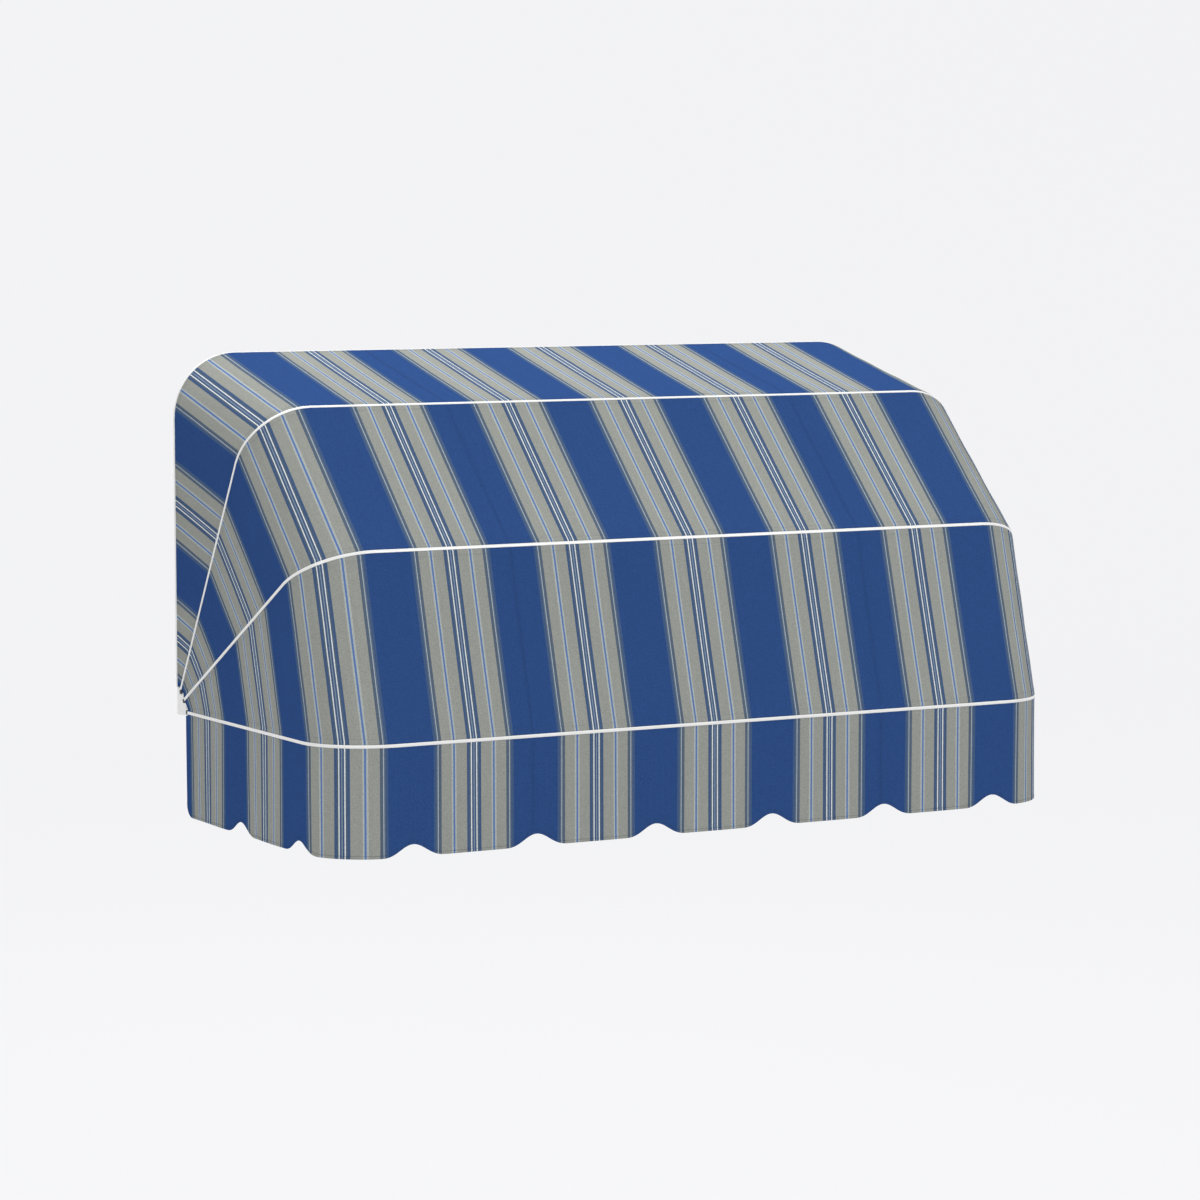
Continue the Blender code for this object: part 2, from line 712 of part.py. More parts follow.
def add_clips(wall, carrier):
    """Angle clips that hold the wall bow, each with a wall screw and a rivet."""
    leg = wall.whole - LEG_CLIP_HEIGHT
    places = (
        ("left_leg", -leg),
        ("top_left", -CLIP_SPACING),
        ("top_middle", 0.0),
        ("top_right", CLIP_SPACING),
        ("right_leg", leg),
    )
    top = PROFILE_HEIGHT + GAP
    low = top + CLIP_LEG
    for name, s in places:
        point, into, out = wall.frame(s)
        base = point + into * WALL_BOW_DEPTH
        turn = Matrix((-into, out, out.cross(into))).transposed().to_euler()
        clip = make_clip("clip_" + name)
        dress(clip, ["aluminium"], carrier, base, turn)
        screw_at = base - out * (low - CLIP_SCREW_INSET) - into * (CLIP_PLATE + GAP)
        screw = headed("clip_screw_" + name, SCREW_RADIUS, SCREW_HEAD, SCREW_HEAD_HEIGHT, CLIP_PLATE)
        dress(screw, ["steel"], carrier, screw_at, facing(-into))
        rivet_at = base - into * WALL_BOW_DEPTH - out * (top + CLIP_PLATE + GAP)
        rivet = headed("clip_rivet_" + name, RIVET_RADIUS, RIVET_HEAD, RIVET_HEAD_HEIGHT, CLIP_PLATE)
        dress(rivet, ["aluminium"], carrier, rivet_at, facing(-out))


def make_carriers():
    """Empties that carry the pieces: the wall frame's, and one on each hinge axis."""
    carriers = [make_carrier("wall_frame_origin", Vector((0, 0, 0)))]
    for index, name in ((1, "upper"), (2, "middle"), (3, "front")):
        depth, height = pivot(index)
        carriers.append(make_carrier(name + "_hinge_axis", Vector((0, -depth, AXIS_Z + height))))
    return carriers


def main():
    clear_scene()
    bows = make_bows()
    carriers = make_carriers()
    add_profiles(bows, carriers)
    add_cords(bows, carriers)
    add_panels(bows, carriers)
    add_valance(bows, carriers)
    add_brackets(carriers[0])
    add_pivots(carriers)
    add_clips(bows[0], carriers[0])


main()
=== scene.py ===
"""Dresses a folding window awning: white bows, striped canvas, scalloped valance, brackets and fixings.

Metres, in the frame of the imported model: X along the wall, Y into the wall, Z up, with the origin on the
back face of the middle wall clip. A hoop point is given by the distance s along its outer line, counted from
the middle, and by the section coordinates b (across the hoop's plane) and n (out of the hoop).
"""

import json
import math

import bmesh
import bpy
import numpy as np
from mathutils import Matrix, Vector

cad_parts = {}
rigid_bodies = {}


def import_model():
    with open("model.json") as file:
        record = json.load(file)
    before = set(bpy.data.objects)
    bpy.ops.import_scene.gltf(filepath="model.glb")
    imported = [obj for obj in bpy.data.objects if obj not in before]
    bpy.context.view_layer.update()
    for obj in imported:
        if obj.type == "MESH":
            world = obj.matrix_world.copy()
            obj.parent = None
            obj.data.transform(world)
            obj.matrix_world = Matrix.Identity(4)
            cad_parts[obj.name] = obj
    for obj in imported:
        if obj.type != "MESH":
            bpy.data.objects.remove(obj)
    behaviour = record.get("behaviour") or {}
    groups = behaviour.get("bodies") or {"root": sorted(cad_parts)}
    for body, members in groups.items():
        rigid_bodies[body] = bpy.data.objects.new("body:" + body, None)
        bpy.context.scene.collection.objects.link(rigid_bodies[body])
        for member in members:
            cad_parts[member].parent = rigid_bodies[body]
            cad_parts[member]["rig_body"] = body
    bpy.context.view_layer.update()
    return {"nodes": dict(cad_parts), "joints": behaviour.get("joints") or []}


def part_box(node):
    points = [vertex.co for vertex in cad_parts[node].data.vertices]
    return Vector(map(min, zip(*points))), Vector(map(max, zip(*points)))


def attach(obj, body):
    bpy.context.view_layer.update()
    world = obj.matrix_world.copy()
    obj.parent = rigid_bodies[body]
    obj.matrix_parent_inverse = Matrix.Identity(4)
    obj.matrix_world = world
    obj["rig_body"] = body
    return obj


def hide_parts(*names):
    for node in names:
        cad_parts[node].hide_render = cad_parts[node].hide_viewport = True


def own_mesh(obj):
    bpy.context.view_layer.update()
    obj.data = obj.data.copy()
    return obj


bl_info = {
    "name": "Window awning",
    "version": (1, 0, 0),
    "blender": (4, 5, 0),
    "location": "3D View > Sidebar > Awning",
    "description": "Builds the cloth, bows, fixings and studio of a folding window awning",
    "category": "Add Mesh",
}

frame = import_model()
HINGES = {joint["name"]: joint for joint in frame["joints"]}
WALL_LOW, WALL_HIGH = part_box("wall_bow")
HOOPS = ("wall", "upper", "middle", "front")


def metres(label, words, value):
    return bpy.props.FloatProperty(name=label, description=words, default=value, unit="LENGTH")


def strength(label, words, value):
    return bpy.props.FloatProperty(name=label, description=words, default=value, min=0.0)


def colour(label, words, value):
    return bpy.props.FloatVectorProperty(
        name=label, description=words, subtype="COLOR", size=3, min=0.0, max=1.0, default=value
    )


class AwningSizes(bpy.types.PropertyGroup):
    """Sizes of the bows, the cloth and its stripes."""

    width: metres("Width", "Outer width of the bows", WALL_HIGH.x - WALL_LOW.x)
    axis_height: metres("Pivot line", "Height of the pivot line", -1.063)
    wall_depth: metres("Wall bow depth", "Wall bow's plane, from the wall", -(WALL_HIGH.y + WALL_LOW.y) / 2)
    wall_corner: metres("Wall corner radius", "Bend of the wall and upper bows", 0.201)
    bow_corner: metres("Front corner radius", "Bend of the middle and front bows", 0.210)
    upper_reach: metres("Upper reach", "Upper crossbar from the pivot line", 1.124)
    middle_reach: metres("Middle reach", "Middle crossbar from the pivot line", 1.156)
    front_reach: metres("Front reach", "Front crossbar from the pivot line", 1.1585)
    valance_drop: metres("Valance drop", "Depth of the hem below the front bow", 0.3230)
    valance_back: metres("Valance back", "Back edge, from the pivot line", 0.081)
    scallop_pitch: metres("Scallop pitch", "Distance between scallops", 0.3975)
    scallop_rise: metres("Scallop rise", "Height of each scallop", 0.0361)
    scallop_half: metres("Scallop half width", "Half the width of each scallop", 0.107)
    stripe_repeat: metres("Stripe repeat", "Distance between like stripes", 0.400)
    left_seam: metres("Left seam", "Left sewn seam, from the middle", -0.6105)
    right_seam: metres("Right seam", "Right sewn seam, from the middle", 0.5830)
    cloth_thickness: metres("Cloth thickness", "Thickness of the canvas", 0.0009)
    stitch_pitch: metres("Stitch pitch", "Distance between stitches", 0.0055)


class AwningColours(bpy.types.PropertyGroup):
    """Yarn, powder coat and studio colours, as linear values."""

    blue: colour("Blue yarn", "Broad blue stripe", (0.0270, 0.0690, 0.209))
    grey: colour("Grey yarn", "Broad grey stripe", (0.287, 0.296, 0.272))
    navy: colour("Navy yarn", "Dark bands", (0.0575, 0.1005, 0.197))
    ink: colour("Ink blue yarn", "Dark lines in the middle of a group", (0.053, 0.102, 0.227))
    slate: colour("Slate yarn", "Thin grey-blue bands", (0.088, 0.121, 0.171))
    mist: colour("Light slate yarn", "Lighter edge of the slate band", (0.106, 0.144, 0.205))
    white: colour("White yarn", "Thin white lines", (0.700, 0.745, 0.765))
    hair: colour("Hairline yarn", "Hairline in the middle of a group", (0.208, 0.259, 0.302))
    pale: colour("Pale yarn", "Edges of the light blue line", (0.375, 0.408, 0.398))
    chalk: colour("Chalk yarn", "Fine line in the slate band", (0.380, 0.432, 0.468))
    light_blue: colour("Light blue yarn", "Thin light blue line", (0.098, 0.178, 0.392))
    powder: colour("White powder coat", "Finish of the bows", (0.800, 0.800, 0.790))
    bracket: colour("Bracket powder coat", "Finish of the brackets", (0.830, 0.830, 0.820))
    backdrop: colour("Backdrop", "Floor and backdrop", (0.940, 0.940, 0.957))


class AwningLight(bpy.types.PropertyGroup):
    """Strength of the studio lamps."""

    world: strength("World", "Strength of the surrounding light", 0.51)
    key: strength("Key lamp", "Watts of the lamp above the street", 408.0)
    fill: strength("Fill lamp", "Watts of the lamp on the left", 196.0)
    top: strength("Top lamp", "Watts of the lamp overhead", 530.0)


def sizes():
    return bpy.context.scene.awning_sizes


def colours():
    return bpy.context.scene.awning_colours


# Bow section: the cord groove's middle and radius, the cord, half the width, the height and the foot.
GROOVE_B = 0.0062
GROOVE_N = -0.0070
GROOVE_R = 0.0028
CORD_R = 0.0024
SIDE = 0.011
HEIGHT = 0.024
FOOT_R = 0.0016

# Where the wall bow ends above the pivot line, and the swinging arms' distance from their bolts.
WALL_START = 0.0725
ARM_START = 0.012

# Section points (b, n) of a cloth edge: up out of the groove beside the crest, then over the outer lip.
EDGE_POINTS = np.array(
    [(0.0050, -0.0050), (0.0047, -0.0040), (0.0049, -0.0030), (0.0055, -0.0021)]
    + [(0.0064, -0.0015), (0.0080, -0.0015), (0.0100, -0.0019), (0.0115, -0.0023)]
)

# Panels: margin at the arms' ends, sag as a share of the span, height of ripples, puckers and bend folds,
# and the length of the puckers and folds with the puckers' fade from the edges.
PANEL_MARGIN = 0.0015
PANEL_SAG = 0.0015
RIPPLE = 0.0008
PUCKER = 0.00035
PUCKER_LENGTH = 0.043
PUCKER_FADE = 0.035
BEND_FOLD = 0.0007
BEND_FOLD_LENGTH = 0.115

# Valance: back corners, waves, clearance below the front hinge, the spread of the scallops past the bend,
# and the hem.
CORNER_R = 0.038
VALANCE_WAVE = 0.0032
VALANCE_WAVE_LENGTH = 0.398
BOLT_CLEARANCE = 0.0104
SCALLOP_SPREAD = 0.072
SCALLOP_SPREAD_START = 1.40
HEM_WIDTH = 0.011

# Lapped seams: the strip's half width, its section in shares of it and in heights, and its stitch rows.
SEAM_HALF = 0.0075
SEAM_ACROSS = np.array([-1.0, -0.9, 0.0, 0.9, 1.0])
SEAM_LIFT = np.array([-0.0002, 0.00085, 0.0010, 0.00085, -0.0002])
SEAM_ROWS = (-0.0016, 0.0016)
SEAM_PITCH = 0.005

# Distance of the edge stitches from the bows, and of the hem's from the hem's edge.
EDGE_ROW = 0.0105
HEM_ROW = 0.0085

# Length, radius and thread of the stitches in each kind of row.
STITCHES = {
    "seam": (0.0046, 0.00032, "blue_thread"),
    "valance_seam": (0.0046, 0.00024, "blue_thread"),
    "edge": (0.0038, 0.00028, "edge_thread"),
    "hem": (0.0040, 0.00050, "hem_thread"),
}


class Hoop:
    """A U-shaped bow: a straight crossbar, two quarter-circle bends and two straight arms, in one plane."""

    def __init__(self, key):
        size = sizes()
        self.key = key
        if key == "wall":
            self.body = "wall_frame"
            self.reach = WALL_HIGH.z - size.axis_height
            self.start = WALL_START
            angle = math.pi / 2
            depth = size.wall_depth
        else:
            hinge = HINGES[key + "_hinge"]
            self.body = key + "_hoop"
            self.reach = getattr(size, key + "_reach")
            self.start = math.hypot(hinge["pos_m"][1], hinge["pos_m"][2] - size.axis_height) + ARM_START
            angle = math.pi / 2 - math.radians(hinge["range_deg"][1])
            depth = 0.0
        self.corner = size.wall_corner if key in HOOPS[:2] else size.bow_corner
        self.origin = np.array([0.0, -depth, size.axis_height])
        self.out = np.array([0.0, -math.cos(angle), math.sin(angle)])
        self.up = np.array([0.0, math.sin(angle), math.cos(angle)])
        self.flat = size.width / 2 - self.corner
        self.turn = self.flat + self.corner * math.pi / 2
        self.whole = self.turn + self.reach - self.corner

    def at(self, s, b, n):
        """Point at distance s along the outer line, moved by b along the plane's normal and n outwards.

        The line runs straight to the bend, turns by (s - flat) / radius, then runs straight down the arm."""
        s, b, n = np.broadcast_arrays(np.asarray(s, float), b, n)
        d = np.abs(s)
        turned = np.clip((d - self.flat) / self.corner, 0, math.pi / 2)
        x = np.minimum(d, self.flat) + self.corner * np.sin(turned)
        q = self.reach - self.corner + self.corner * np.cos(turned) - np.maximum(d - self.turn, 0)
        side = np.where(s < 0, -1.0, 1.0)
        place = (side * (x + n * np.sin(turned)))[..., None] * np.array([1.0, 0.0, 0.0])
        place = place + (q + n * np.cos(turned))[..., None] * self.out
        return self.origin + place + b[..., None] * self.up

    def outward(self, s):
        """Unit vector out of the hoop at the distance s."""
        return self.at(s, 0.0, 1.0) - self.at(s, 0.0, 0.0)

    def pattern(self, s, key=None):
        """Coordinate u across the stripes at the distance s.

        It is the inverse of s = shift + scale u, and outwards of start plus spread (|u| - start)."""
        shift, scale, start, spread = STRIPE_LIE[key or self.key]
        u = np.linspace(-2.8, 2.8, 2801)
        return np.interp(s, shift + scale * u + spread * np.sign(u) * np.maximum(np.abs(u) - start, 0), u)

    def spread(self, flat_steps, bend_steps, arm_steps, start=0.0):
        """Distances s with even steps on the crossbar, on each bend and on each arm."""
        end = self.whole - self.start - start
        flat = np.linspace(0, self.flat, flat_steps, endpoint=False)
        bend = np.linspace(self.flat, self.turn, bend_steps, endpoint=False)
        half = np.concatenate([flat, bend, np.linspace(self.turn, end, arm_steps)])
        return np.concatenate([-half[:0:-1], half])


def grid_faces(rows, columns, wrap=False):
    """Quads of a grid of rows by columns, with the last column joined to the first where wrap is set."""
    i = np.arange(rows - 1)[:, None]
    j = np.arange(columns if wrap else columns - 1)[None, :]
    a = i * columns + j
    b = i * columns + (j + 1) % columns
    return np.stack([a, b, b + columns, a + columns], axis=-1).reshape(-1, 4)


def new_object(name, data):
    obj = bpy.data.objects.new(name, data)
    bpy.context.scene.collection.objects.link(obj)
    return obj


def new_piece(name, points, faces, uv=None, smooth_angle=None):
    """A mesh object at the origin from points, faces and a UV value for each point."""
    mesh = bpy.data.meshes.new(name)
    mesh.from_pydata(points.reshape(-1, 3).tolist(), [], [list(face) for face in faces])
    if uv is not None:
        layer = mesh.uv_layers.new(name="Cloth")
        index = np.empty(len(mesh.loops), np.int32)
        mesh.loops.foreach_get("vertex_index", index)
        layer.uv.foreach_set("vector", uv.reshape(-1, 2)[index].astype(np.float32).ravel())
    if smooth_angle is not None:
        shade_round(mesh, smooth_angle)
    return new_object(name, mesh)


def shade_round(mesh, angle):
    """Smooth shading, with edges left sharp past an angle in degrees."""
    mesh.shade_smooth()
    mesh.set_sharp_from_angle(angle=math.radians(angle))


def turn_outwards(obj):
    shape = bmesh.new()
    shape.from_mesh(obj.data)
    bmesh.ops.recalc_face_normals(shape, faces=shape.faces)
    shape.to_mesh(obj.data)
    shape.free()


def carried_profile(name, hoop, s, section):
    """A closed section of (b, n) pairs carried along a hoop through the distances s, with flat ends."""
    points = hoop.at(s[:, None], section[None, :, 0], section[None, :, 1])
    count = len(section)
    faces = grid_faces(len(s), count, wrap=True).tolist()
    faces.append(list(range(count)))
    faces.append(list(range((len(s) - 1) * count, len(s) * count)))
    obj = new_piece(name, points, faces)
    turn_outwards(obj)
    shade_round(obj.data, 35)
    return obj


def bow_section():
    """The extruded section, right half and its mirror image.

    From the crown of the crest round its edge and down its neck, round the cord groove (a circle of radius
    GROOVE_R left open from 60 to 135 degrees), over the outer lip, and down the box to its rounded foot."""
    crest = np.array([(0.0, 0.0), (0.0024, -0.00002), (0.0037, -0.00018), (0.0044, -0.0005)])
    edge = np.array([(0.0048, -0.0009), (0.0049, -0.0013)])
    neck = np.array([(0.0047, -0.0017), (0.0040, -0.0020), (0.0039, -0.0046)])
    turn = np.radians(np.linspace(135, 420, 15))
    groove = np.stack([GROOVE_B + GROOVE_R * np.cos(turn), GROOVE_N + GROOVE_R * np.sin(turn)], axis=1)
    lip = np.array([(0.0073, -0.0033), (0.0078, -0.0026), (0.0087, -0.0024)])
    side = np.array([(0.0100, -0.0029), (0.0110, -0.0042)])
    turn = np.radians(np.linspace(0, -90, 6))
    foot = [SIDE - FOOT_R + FOOT_R * np.cos(turn), -HEIGHT + FOOT_R + FOOT_R * np.sin(turn)]
    right = np.concatenate([crest, edge, neck, groove, lip, side, np.stack(foot, axis=1)])
    left = right[1:][::-1] * np.array([-1.0, 1.0])
    return np.concatenate([right, left])


def dress(obj, material, body):
    """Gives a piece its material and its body."""
    obj.data.materials.clear()
    obj.data.materials.append(material)
    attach(obj, body)


class Value:
    """A number or a socket in a material; arithmetic on it adds Math nodes."""

    def __init__(self, shade, socket):
        self.shade = shade
        self.socket = socket

    def combined(self, operation, *terms):
        made = self.shade.node("ShaderNodeMath", {"operation": operation}, dict(enumerate(terms)))
        return Value(self.shade, made.outputs[0])

    def math(self, operation, *others):
        return self.combined(operation, self, *others)

    def __add__(self, other):
        return self.math("ADD", other)

    def __sub__(self, other):
        return self.math("SUBTRACT", other)

    def __mul__(self, other):
        return self.math("MULTIPLY", other)

    def __truediv__(self, other):
        return self.math("DIVIDE", other)

    def __radd__(self, other):
        return self.combined("ADD", other, self)

    def __rsub__(self, other):
        return self.combined("SUBTRACT", other, self)

    def __rmul__(self, other):
        return self.combined("MULTIPLY", other, self)

    def sin(self):
        return self.math("SINE")

    def clamped(self):
        return Value(self.shade, self.shade.node("ShaderNodeClamp", {}, {0: self.socket}).outputs[0])


class Shade:
    """A material, or the world, under construction."""

    def __init__(self, owner):
        self.owner = owner
        owner.use_nodes = True
        self.tree = owner.node_tree
        self.tree.nodes.clear()

    @classmethod
    def named(cls, name):
        return cls(bpy.data.materials.new(name))

    def node(self, kind, settings=None, values=None):
        """A node of this kind: first its settings, a ramp's stops among them, then its sockets."""
        made = self.tree.nodes.new(kind)
        for key, value in (settings or {}).items():
            if key == "stops":
                ramp = made.color_ramp
                while len(ramp.elements) > 1:
                    ramp.elements.remove(ramp.elements[-1])
                ramp.elements[0].position = value[0][0]
                ramp.elements[0].color = (*value[0][1], 1)
                for position, colour in value[1:]:
                    ramp.elements.new(position).color = (*colour, 1)
            elif key == "interpolation":
                made.color_ramp.interpolation = value
            else:
                setattr(made, key, value)
        for key, value in (values or {}).items():
            target = made.inputs[key]
            if isinstance(value, Value):
                value = value.socket
            if isinstance(value, bpy.types.NodeSocket):
                self.tree.links.new(value, target)
            elif hasattr(value, "__len__") and target.type == "RGBA" and len(value) == 3:
                target.default_value = (*value, 1)
            else:
                target.default_value = value
        return made

    def uv(self):
        """The cloth's own coordinates: metres along the bow, and metres down the cloth."""
        cloth = self.node("ShaderNodeUVMap", {"uv_map": "Cloth"}).outputs[0]
        parts = self.node("ShaderNodeSeparateXYZ", {}, {0: cloth})
        return Value(self, parts.outputs[0]), Value(self, parts.outputs[1])

    def place(self, scale=(1, 1, 1)):
        """Object coordinates, scaled by a Mapping node."""
        coordinate = self.node("ShaderNodeTexCoord").outputs["Object"]
        return self.node("ShaderNodeMapping", {}, {"Vector": coordinate, "Scale": scale}).outputs[0]

    def noise(self, vector, scale, detail=2.0, roughness=0.5):
        sockets = {"Vector": vector, "Scale": scale, "Detail": detail, "Roughness": roughness}
        return Value(self, self.node("ShaderNodeTexNoise", {}, sockets).outputs["Fac"])

    def vector(self, x, y, z=0.0):
        return self.node("ShaderNodeCombineXYZ", {}, {0: x, 1: y, 2: z}).outputs[0]

    def brightened(self, colour, factor):
        """A colour multiplied by a number."""
        made = self.node("ShaderNodeVectorMath", {"operation": "SCALE"}, {0: colour, "Scale": factor})
        return made.outputs[0]

    def mixed(self, factor, first, second):
        made = self.node("ShaderNodeMix", {"data_type": "RGBA"}, {0: factor, 6: first, 7: second})
        return made.outputs[2]

    def bump(self, height, strength, distance):
        sockets = {"Height": height, "Strength": strength, "Distance": distance}
        return self.node("ShaderNodeBump", {}, sockets).outputs[0]

    def finish(self, colour, roughness, values, normal):
        """The surface shader and the output."""
        sockets = {"Base Color": colour, "Roughness": roughness, "Normal": normal, **values}
        surface = self.node("ShaderNodeBsdfPrincipled", {}, sockets)
        self.node("ShaderNodeOutputMaterial", {}, {"Surface": surface.outputs[0]})
        return self.owner


WEAVE_PITCH = 0.0016

# Stripes of half a repeat: yarn, and where it starts from the middle of the grey group.
STRIPES = (
    ("hair", 0.0),
    ("ink", 0.0010),
    ("slate", 0.0044),
    ("white", 0.0070),
    ("slate", 0.0094),
    ("navy", 0.0146),
    ("grey", 0.0225),
    ("pale", 0.0558),
    ("light_blue", 0.0605),
    ("pale", 0.0658),
    ("grey", 0.0711),
    ("slate", 0.1036),
    ("chalk", 0.1130),
    ("mist", 0.1153),
    ("navy", 0.1193),
    ("blue", 0.1276),
)

# Lie of the stripes on each hoop: the middle stripe's place, the repeat's scale, and where the cloth starts
# to spread over the bend and the arm, with its spread for each metre.
STRIPE_LIE = {
    "wall": (0.0090, 1.0056, 0.90, 0.033),
    "upper": (-0.0040, 0.9991, 1.02, 0.0585),
    "middle": (-0.0065, 0.9970, 1.10, 0.090),
    "front": (-0.0020, 0.9990, 1.11, 0.077),
    "valance": (0.0, 1.0, 1.11, 0.077),
}


def canvas_material(name):
    """Yarn-dyed acrylic canvas.

    The stripe colour is a stepped ramp over the distance to the nearest grey middle, a triangle wave of u.
    Fine noise moves the steps by part of a yarn, long streaks along the warp vary the brightness, and the
    weave is the product of two sine waves at the yarn pitch."""
    shade = Shade.named(name)
    u, v = shade.uv()
    yarn = shade.noise(shade.vector(u * 1300.0, v * 160.0), 1.0, 1.0)
    half = sizes().stripe_repeat / 2
    distance = (u + (yarn - 0.5) * 0.0003).math("PINGPONG", half) / half
    stops = [(start / half, tuple(getattr(colours(), key))) for key, start in STRIPES]
    ramp = shade.node("ShaderNodeValToRGB", {"interpolation": "CONSTANT", "stops": stops}, {0: distance})
    streak = shade.noise(shade.vector(u * 420.0, v * 3.0), 1.0, 3.0, 0.6)
    cloud = shade.noise(shade.vector(u * 2.1, v * 2.6, 3.7), 1.0, 3.0)
    grain = shade.noise(shade.vector(u * 320.0, v * 320.0, 1.3), 1.0, 2.0, 0.6)
    level = 1.0 + (streak - 0.5) * 0.19 + (cloud - 0.5) * 0.06 + (yarn - 0.5) * 0.10 + (grain - 0.5) * 0.80
    pitch = 2 * math.pi / WEAVE_PITCH
    weave = (u * pitch).sin() * (v * pitch).sin()
    height = weave * 0.5 + yarn * 0.5 + streak * 0.6
    normal = shade.bump(height, 0.30, 0.0004)
    rough = 0.82 + (yarn - 0.5) * 0.12
    tone = shade.brightened(ramp.outputs[0], level)
    return shade.finish(tone, rough, {"Specular IOR Level": 0.0}, normal)


def powder_material(name, colour, roughness):
    """Powder coat: fine orange peel from noise, and faint dust that lightens the gloss."""
    shade = Shade.named(name)
    place = shade.place()
    peel = shade.noise(place, 900.0, 2.0)
    film = shade.noise(place, 14.0, 4.0, 0.6)
    tone = shade.brightened(colour, 1.0 + (film - 0.5) * 0.05)
    rough = roughness + (film - 0.5) * 0.14 + (peel - 0.5) * 0.04
    return shade.finish(tone, rough, {"Coat Weight": 0.12}, shade.bump(peel, 0.12, 0.0002))


def metal_material(name, colour, roughness, scale):
    """Bare metal: noise stretched by scale leaves fine drawing or brushing lines."""
    shade = Shade.named(name)
    lines = shade.noise(shade.place(scale), 1.0, 3.0, 0.6)
    spots = shade.noise(shade.place(), 60.0, 3.0)
    base = shade.mixed(spots, tuple(c * 0.86 for c in colour), colour)
    tone = shade.brightened(base, 1.0 + (lines - 0.5) * 0.25 + (spots - 0.5) * 0.12)
    rough = roughness + (lines - 0.5) * 0.22
    return shade.finish(tone, rough, {"Metallic": 1.0}, shade.bump(lines, 0.15, 0.0002))


def thread_material(name, colour):
    """Twisted polyester thread: a slanted wave gives its lay."""
    shade = Shade.named(name)
    place = shade.place()
    wave = shade.node(
        "ShaderNodeTexWave",
        {"wave_type": "BANDS", "bands_direction": "DIAGONAL"},
        {"Vector": place, "Scale": 900.0, "Distortion": 0.6},
    )
    twist = Value(shade, wave.outputs["Fac"])
    fuzz = shade.noise(place, 2500.0, 2.0)
    tone = shade.mixed(twist * 0.5 + fuzz * 0.3, tuple(c * 0.72 for c in colour), colour)
    rough = 0.70 + (fuzz - 0.5) * 0.2
    return shade.finish(tone, rough, {"Specular IOR Level": 0.1}, shade.bump(twist, 0.3, 0.0001))


def cord_material(name):
    """Extruded white plastic cord with faint draw lines."""
    shade = Shade.named(name)
    place = shade.place()
    dust = shade.noise(place, 120.0, 4.0)
    tone = shade.mixed(dust, (0.60, 0.60, 0.58), (0.76, 0.76, 0.74))
    return shade.finish(tone, 0.42 + (dust - 0.5) * 0.2, {}, shade.bump(dust, 0.1, 0.0002))


MATERIALS = {}


def material(name):
    """The named finish, made once."""
    if name not in MATERIALS:
        paint = colours()
        makers = {
            "canvas": (canvas_material,),
            "white_powder_coat": (powder_material, tuple(paint.powder), 0.34),
            "bracket_powder_coat": (powder_material, tuple(paint.bracket), 0.42),
            "stainless_steel": (metal_material, (0.60, 0.60, 0.61), 0.34, (260, 260, 40)),
            "black_zinc": (metal_material, (0.100, 0.100, 0.105), 0.46, (200, 200, 60)),
            "mill_aluminium": (metal_material, (0.74, 0.74, 0.75), 0.42, (30, 420, 420)),
            "blue_thread": (thread_material, (0.020, 0.048, 0.140)),
            "edge_thread": (thread_material, (0.060, 0.095, 0.160)),
            "hem_thread": (thread_material, (0.032, 0.055, 0.100)),
            "edging_cord": (cord_material,),
        }
        maker, *details = makers[name]
        MATERIALS[name] = maker(name, *details)
    return MATERIALS[name]


def edge_path(side):
    """The cloth edge's section points on one side of the crest."""
    return EDGE_POINTS * (side, 1.0)


def ripple(u, v, seed):
    """A smooth wavy field about zero: six sine waves with directions and phases drawn from the seed."""
    dice = np.random.default_rng(seed)
    field = np.zeros(np.broadcast(u, v).shape)
    for _ in range(6):
        turn = dice.uniform(-0.6, 0.6)
        length = dice.uniform(0.16, 0.55)
        phase = dice.uniform(0, 2 * math.pi)
        field = field + np.sin(2 * math.pi * (u * math.cos(turn) + v * math.sin(turn)) / length + phase)
    return field / 6


